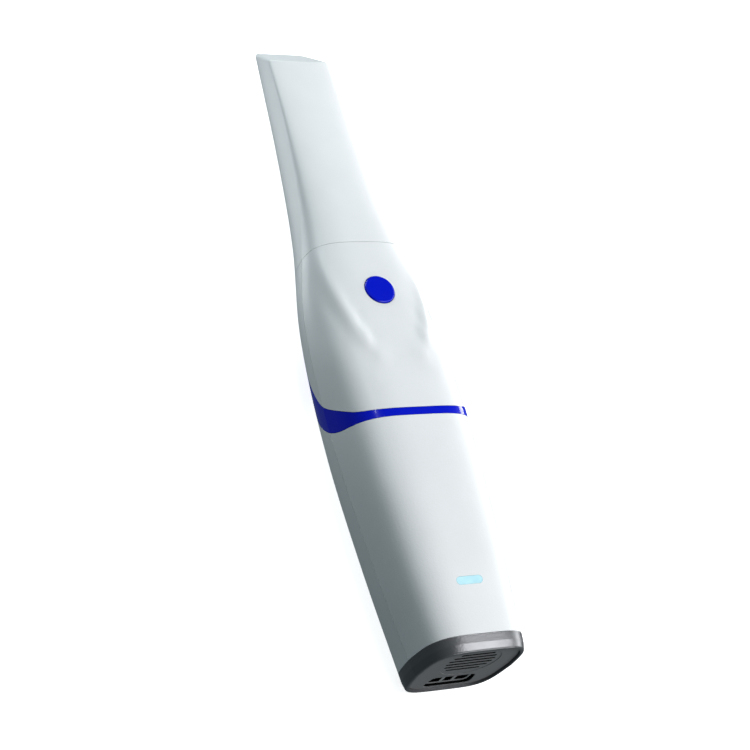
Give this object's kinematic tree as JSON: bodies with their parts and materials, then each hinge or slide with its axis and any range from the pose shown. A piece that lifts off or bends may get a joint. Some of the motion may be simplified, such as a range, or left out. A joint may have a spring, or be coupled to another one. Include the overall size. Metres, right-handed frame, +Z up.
{
  "type": "intraoral camera",
  "caption": "Handheld intraoral scanning camera: tapered white wand with removable mirror tip, scan button, blue band, status light and vented cable end.",
  "frame": {"origin": "centre of the bounding box at the flat underside the wand lies on", "axes": "+Y along the wand to the scanning tip, +Z up through the scan button, X=0 the plane of symmetry"},
  "size_m": [0.0452, 0.23, 0.035],
  "materials": {
    "shell_white": "satin white moulding",
    "blue_plastic": "gloss blue",
    "cap_plastic": "dark grey, polished",
    "plate_plastic": "dark grey, fine grain",
    "black_plastic": "black moulding",
    "light_pipe": "translucent, lit ice blue",
    "circuit_board": "green solder mask",
    "led": "moulded lens",
    "chip": "moulded epoxy",
    "silicone": "soft silicone",
    "foam": "open-cell mesh",
    "gold_contact": "gold plated",
    "steel": "small machine screws",
    "aluminium": "machined",
    "optical_glass": "coated",
    "heater_film": "thin printed heater",
    "flex": "amber flexible print",
    "mirror": "front-silvered"
  },
  "bodies": {
    "handpiece": {"rear_upper_shell": "shell_white", "rear_lower_shell": "shell_white", "front_upper_shell": "shell_white", "front_lower_shell": "shell_white", "accent_band": "blue_plastic", "end_cap": "cap_plastic", "end_plate": "plate_plastic", "status_light": "light_pipe", "status_board": "circuit_board", "status_leds": "led", "button_seal": "silicone", "scan_switch": "chip", "button_board": "circuit_board", "button_board_screws": "steel", "cable_socket": "plate_plastic", "socket_pins": "gold_contact", "dust_filter": "foam", "fan_frame": "black_plastic", "fan_stator": "steel", "fan_screws": "steel", "chassis": "aluminium", "chassis_screws": "steel", "board_standoffs": "steel", "main_board": "circuit_board", "board_screws": "steel", "board_chips": "chip", "thermal_pad": "silicone", "heat_sink": "aluminium", "optical_bench": "aluminium", "bench_screws": "steel", "projector_board": "circuit_board", "projector_housing": "black_plastic", "projector_lens": "optical_glass", "projector_led": "led", "left_camera_board": "circuit_board", "left_camera_barrel": "black_plastic", "left_camera_lens": "optical_glass", "right_camera_board": "circuit_board", "right_camera_barrel": "black_plastic", "right_camera_lens": "optical_glass", "ribbon_cable": "flex", "optical_nose": "black_plastic", "tip_detents": "steel", "window_seal": "silicone", "window_heater": "heater_film", "nose_window": "optical_glass"},
    "tip": {"scan_tip": "shell_white", "tip_mirror": "mirror"},
    "button": {"scan_button": "blue_plastic"},
    "plunger": {"switch_plunger": "chip"},
    "rotor": {"fan_rotor": "black_plastic"}
  },
  "joints": [
    {"name": "tip_slide", "type": "slide", "parent": "handpiece", "child": "tip", "axis": [0, 1, 0], "range_m": [0, 0.075]},
    {"name": "button_press", "type": "slide", "parent": "handpiece", "child": "button", "axis": [0, -0.0576, -0.9983], "range_m": [0, 0.0005], "stiffness_N_per_m": 900, "springref_m": -0.001},
    {"name": "switch_press", "type": "slide", "parent": "handpiece", "child": "plunger", "axis": [0, -0.0576, -0.9983], "range_m": [0, 0.0006]},
    {"name": "fan_spin", "type": "hinge", "parent": "handpiece", "child": "rotor", "pos_m": [0, -0.10835, 0.0208], "axis": [0, 1, 0], "continuous": true}
  ],
  "couplings": [
    {"joint": "switch_press", "follows": "button_press", "ratio": 1}
  ]
}
